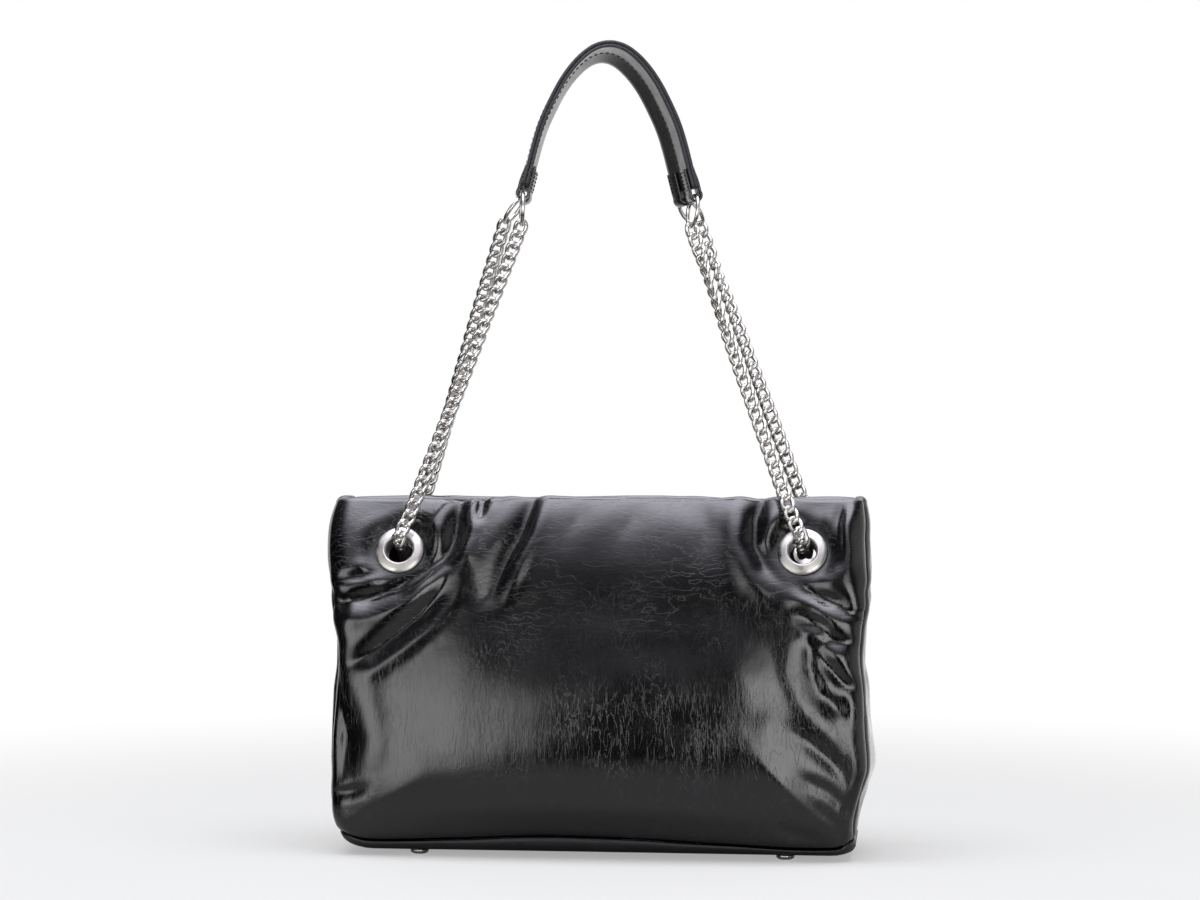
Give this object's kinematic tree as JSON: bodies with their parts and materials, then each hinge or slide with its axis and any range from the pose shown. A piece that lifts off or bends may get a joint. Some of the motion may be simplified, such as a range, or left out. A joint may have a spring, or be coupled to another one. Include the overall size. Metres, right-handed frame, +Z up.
{
  "type": "shoulder bag",
  "caption": "Padded glossy leather box bag with a gusset at each end, small metal feet, eyelets and a chain strap that ends in a short arched leather shoulder piece.",
  "frame": {"origin": "bottom centre: under the middle of the bag, on the plane of the four feet", "axes": "+X along the bag to the picture's right, -Y out of the pictured face, +Z up; the strap stands up as it hangs from a hand"},
  "size_m": [0.306, 0.106, 0.464],
  "materials": {
    "black_leather": "glossy crinkled",
    "wadding": "soft",
    "lining_cloth": "matte woven",
    "stiffener_board": "matte",
    "nickel_plate": "polished nickel"
  },
  "bodies": {
    "bag": {"front_panel": "black_leather", "rear_panel": "black_leather", "left_gusset": "black_leather", "right_gusset": "black_leather", "front_padding": "wadding", "rear_padding": "wadding", "left_padding": "wadding", "right_padding": "wadding", "front_facing": "black_leather", "rear_facing": "black_leather", "left_facing": "black_leather", "right_facing": "black_leather", "front_lining": "lining_cloth", "rear_lining": "lining_cloth", "left_lining": "lining_cloth", "right_lining": "lining_cloth", "base_panel": "black_leather", "base_board": "stiffener_board", "base_lining": "lining_cloth", "foot_front_left": "nickel_plate", "foot_front_right": "nickel_plate", "foot_rear_left": "nickel_plate", "foot_rear_right": "nickel_plate", "foot_washer_front_left": "nickel_plate", "foot_washer_front_right": "nickel_plate", "foot_washer_rear_left": "nickel_plate", "foot_washer_rear_right": "nickel_plate", "eyelet_front_left": "nickel_plate", "eyelet_front_right": "nickel_plate", "eyelet_rear_left": "nickel_plate", "eyelet_rear_right": "nickel_plate", "eyelet_washer_front_left": "nickel_plate", "eyelet_washer_front_right": "nickel_plate", "eyelet_washer_rear_left": "nickel_plate", "eyelet_washer_rear_right": "nickel_plate", "snap_stud": "nickel_plate", "snap_socket": "nickel_plate", "chain_inside_left": "nickel_plate", "chain_inside_right": "nickel_plate"},
    "strap": {"strap_leather": "black_leather", "strap_backing": "black_leather", "tab_front_left": "black_leather", "tab_front_right": "black_leather", "tab_rear_left": "black_leather", "tab_rear_right": "black_leather", "chain_front_left": "nickel_plate", "chain_front_right": "nickel_plate", "chain_rear_left": "nickel_plate", "chain_rear_right": "nickel_plate"},
    "ring_front_left_body": {"ring_front_left": "nickel_plate"},
    "ring_front_right_body": {"ring_front_right": "nickel_plate"},
    "ring_rear_left_body": {"ring_rear_left": "nickel_plate"},
    "ring_rear_right_body": {"ring_rear_right": "nickel_plate"}
  },
  "joints": [
    {"name": "strap_swing", "type": "hinge", "parent": "bag", "child": "strap", "pos_m": [0, 0, 0.19], "axis": [1, 0, 0], "range_deg": [-60, 60], "deforming": ["chain_front_left", "chain_front_right", "chain_rear_left", "chain_rear_right"]},
    {"name": "ring_front_left_turn", "type": "hinge", "parent": "strap", "child": "ring_front_left_body", "pos_m": [-0.04534, -0.02335, 0.36625], "axis": [0.9804, 0.1949, -0.0281], "continuous": true},
    {"name": "ring_front_right_turn", "type": "hinge", "parent": "strap", "child": "ring_front_right_body", "pos_m": [0.04944, 0.00549, 0.3663], "axis": [0.9175, 0.3808, -0.1149], "continuous": true},
    {"name": "ring_rear_left_turn", "type": "hinge", "parent": "strap", "child": "ring_rear_left_body", "pos_m": [-0.05212, -0.00679, 0.36723], "axis": [-0.7921, 0.0702, 0.6063], "continuous": true},
    {"name": "ring_rear_right_turn", "type": "hinge", "parent": "strap", "child": "ring_rear_right_body", "pos_m": [0.047, 0.02351, 0.36722], "axis": [-0.6185, -0.5017, -0.6048], "continuous": true}
  ]
}
